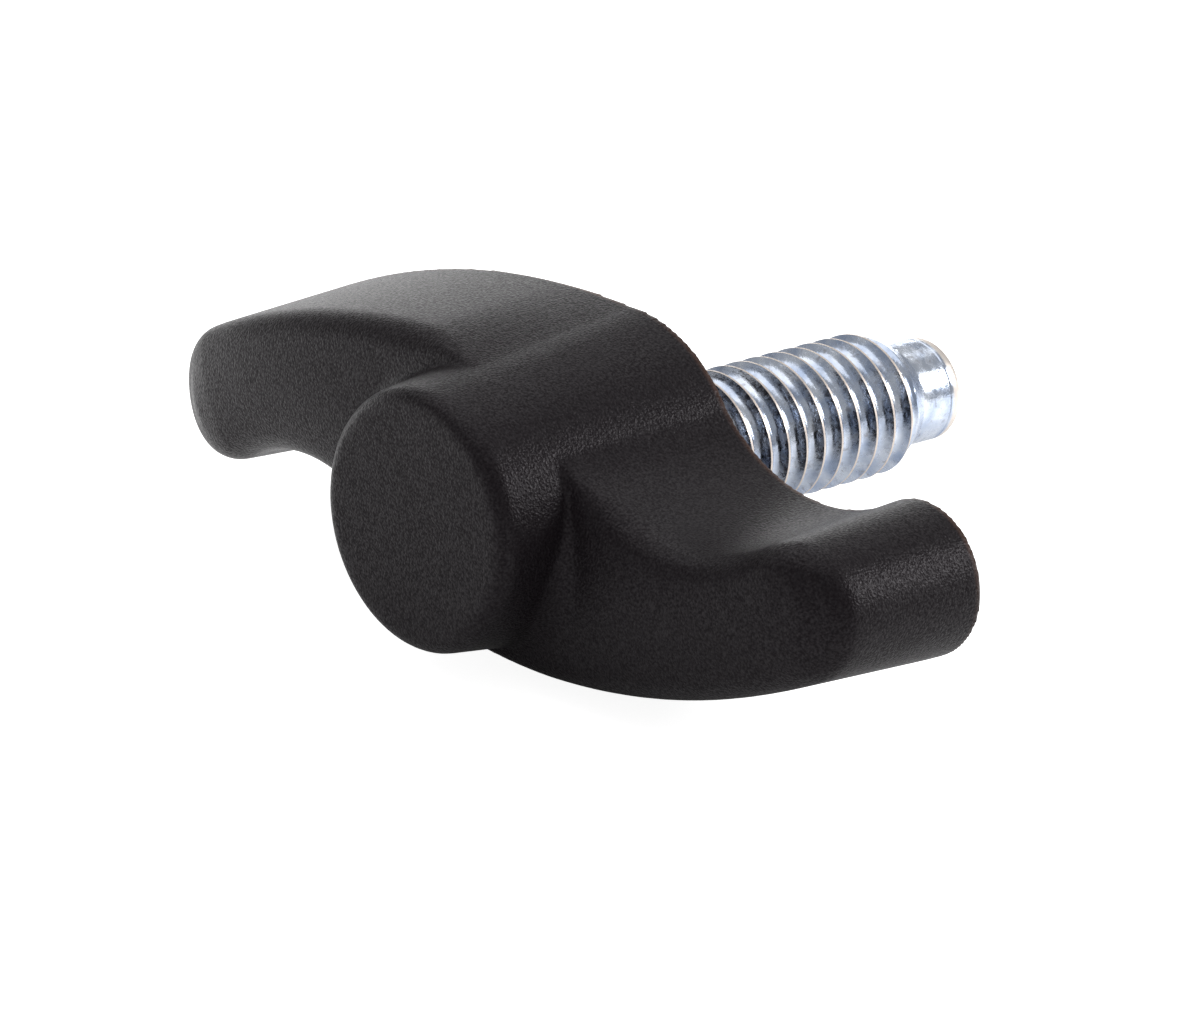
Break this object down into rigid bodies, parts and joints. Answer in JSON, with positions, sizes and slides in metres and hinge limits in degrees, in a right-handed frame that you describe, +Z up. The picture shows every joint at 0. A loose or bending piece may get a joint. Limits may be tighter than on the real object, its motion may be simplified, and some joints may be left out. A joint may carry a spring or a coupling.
{
  "type": "t-handle screw",
  "caption": "S-shaped moulded grip with a round hub on a threaded metal stud with a smooth pilot end, for tightening by hand.",
  "frame": {"origin": "on the screw's axis, in the bearing face of the boss on the grip's back", "axes": "+Y along the screw's axis towards the stud's end, +Z up as the part lies on its side, +X along the grip"},
  "size_m": [0.0396, 0.0286, 0.0134],
  "materials": {
    "plastic": "fine-grained matt moulded surface",
    "zinc_steel": "bright zinc plate on a rolled thread"
  },
  "bodies": {
    "root": {"handle": "plastic", "threaded_stud": "zinc_steel"}
  },
  "joints": []
}
